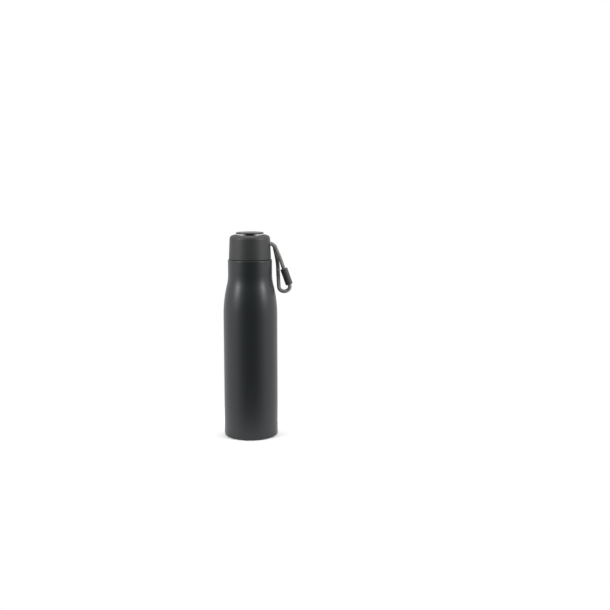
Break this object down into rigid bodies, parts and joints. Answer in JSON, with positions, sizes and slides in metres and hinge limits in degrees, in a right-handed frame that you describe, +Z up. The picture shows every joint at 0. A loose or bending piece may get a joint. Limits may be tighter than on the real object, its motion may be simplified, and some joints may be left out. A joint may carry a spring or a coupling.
{
  "type": "vacuum flask",
  "caption": "Slim double-wall steel vacuum flask with a sloping shoulder, screw cap with a press-to-drink valve button, and a braided wrist strap loop.",
  "frame": {"origin": "centre of the base, on the plane that the flask stands on", "axes": "+Z up the flask's axis, +X towards the side where the strap leaves the cap"},
  "size_m": [0.0874, 0.068, 0.26],
  "materials": {
    "powder_coat": "matt powder coat",
    "steel": "satin",
    "polished_steel": "polished",
    "copper_foil": "foil",
    "glass_solder": "glassy",
    "silicone": "soft, matt",
    "cap_plastic": "fine grain",
    "inner_plastic": "satin",
    "foam": "foam",
    "black_plastic": "satin gloss",
    "cord": "braided",
    "sleeve_plastic": "satin"
  },
  "bodies": {
    "flask": {"outer_shell": "powder_coat", "outer_bottom": "steel", "base_cover": "steel", "vacuum_seal": "glass_solder", "getter": "steel", "radiation_foil": "copper_foil", "inner_liner": "steel", "liner_bottom": "steel"},
    "gasket": {"cap_gasket": "silicone"},
    "cap": {"cap_shell": "cap_plastic", "cap_liner": "inner_plastic", "cap_foam": "foam", "well_seal": "silicone", "stem_guide": "inner_plastic", "strap_pin": "steel", "strap_cord": "cord", "strap_sleeve": "sleeve_plastic", "return_spring": "steel"},
    "button": {"button_pad": "black_plastic", "button_cup": "polished_steel", "button_plunger": "inner_plastic", "valve_stem": "inner_plastic", "valve_disc": "inner_plastic", "valve_seal": "silicone", "valve_screw": "steel"}
  },
  "joints": [
    {"name": "cap_lift", "type": "slide", "parent": "flask", "child": "gasket", "axis": [0, 0, 1], "range_m": [0, 0.0401]},
    {"name": "cap_turn", "type": "hinge", "parent": "gasket", "child": "cap", "pos_m": [0, 0, 0.2322], "axis": [0, 0, 1], "range_deg": [0, 1800]},
    {"name": "button_press", "type": "slide", "parent": "cap", "child": "button", "axis": [0, 0, -1], "range_m": [0, 0.0022], "stiffness_N_per_m": 1500, "springref_m": -0.003, "deforming": ["return_spring"]}
  ],
  "couplings": [
    {"joint": "cap_lift", "follows": "cap_turn", "m_per_rad": 0.0012732}
  ]
}
